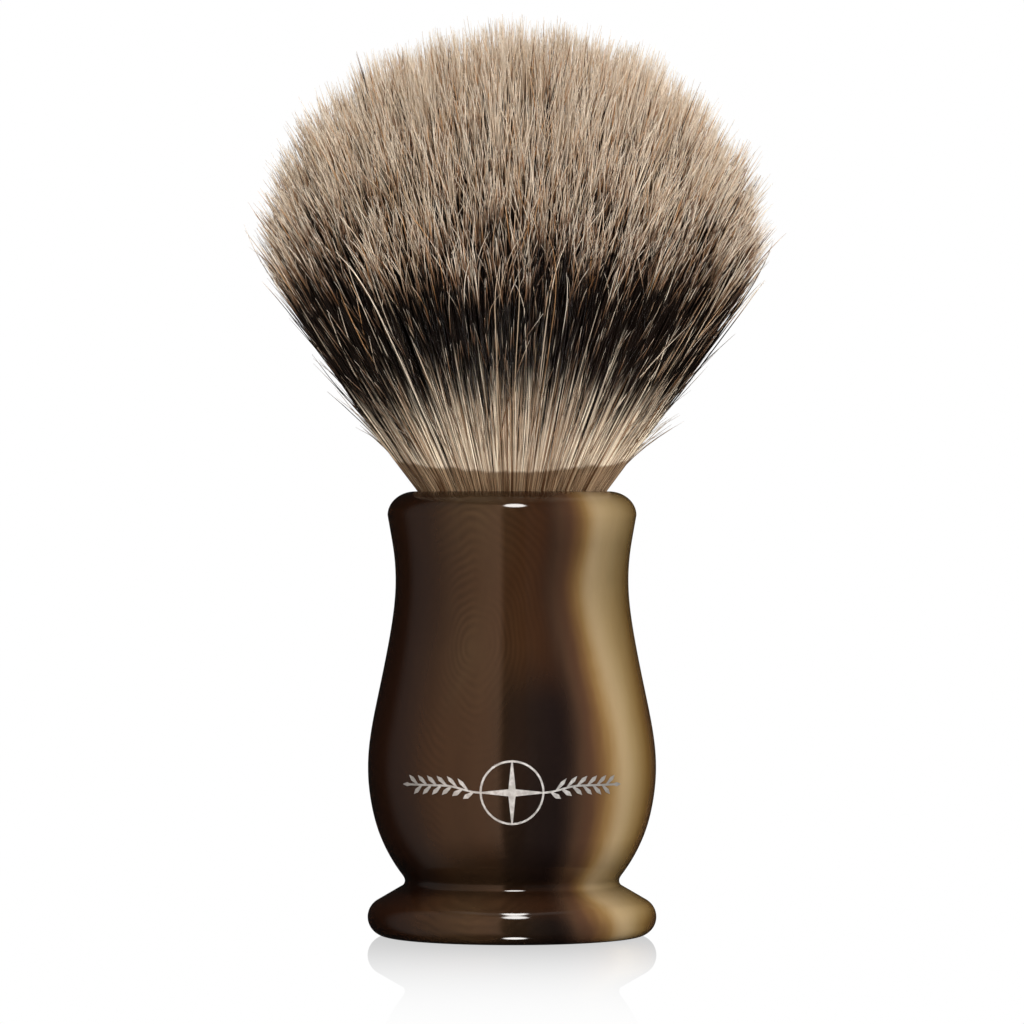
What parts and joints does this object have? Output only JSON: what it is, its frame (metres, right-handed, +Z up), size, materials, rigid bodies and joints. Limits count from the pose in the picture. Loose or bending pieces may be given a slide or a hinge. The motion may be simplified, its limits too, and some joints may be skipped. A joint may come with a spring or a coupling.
{
  "type": "shaving brush",
  "caption": "Shaving brush: a domed badger-hair knot bound and glued into the socket of a waisted, turned horn-effect resin handle with a flared foot.",
  "frame": {"origin": "centre of the handle's flat underside, on the table", "axes": "+Z up along the brush's axis from the foot to the crown of the hair, -Y towards the side with the foil ornament, +X to the right of it"},
  "size_m": [0.0626, 0.0626, 0.1147],
  "materials": {
    "horn_resin": "polished cast resin, dark brown with tan and amber streaks",
    "silver_foil": "hot-stamped silver foil",
    "epoxy": "cured amber epoxy",
    "plug_resin": "cast potting resin",
    "waxed_thread": "waxed twisted thread",
    "hair_root": "badger hair, beige roots",
    "hair_dark_band": "badger hair, near-black band",
    "hair_tip": "badger hair, pale cream tips"
  },
  "bodies": {
    "handle": {"handle_body": "horn_resin", "emblem_foil": "silver_foil", "socket_adhesive": "epoxy", "knot_plug": "plug_resin", "binding_thread": "waxed_thread", "hair_roots": "hair_root"},
    "hair_middle": {"hair_band": "hair_dark_band"},
    "hair_crown": {"hair_tips": "hair_tip"}
  },
  "joints": [
    {"name": "hair_bend_lower", "type": "hinge", "parent": "handle", "child": "hair_middle", "pos_m": [0, 0, 0.058], "axis": [1, 0, 0], "range_deg": [-25, 25], "stiffness_Nm_per_rad": 0.12},
    {"name": "hair_bend_upper", "type": "hinge", "parent": "hair_middle", "child": "hair_crown", "pos_m": [0, 0, 0.064], "axis": [0, 1, 0], "range_deg": [-25, 25], "stiffness_Nm_per_rad": 0.12}
  ]
}
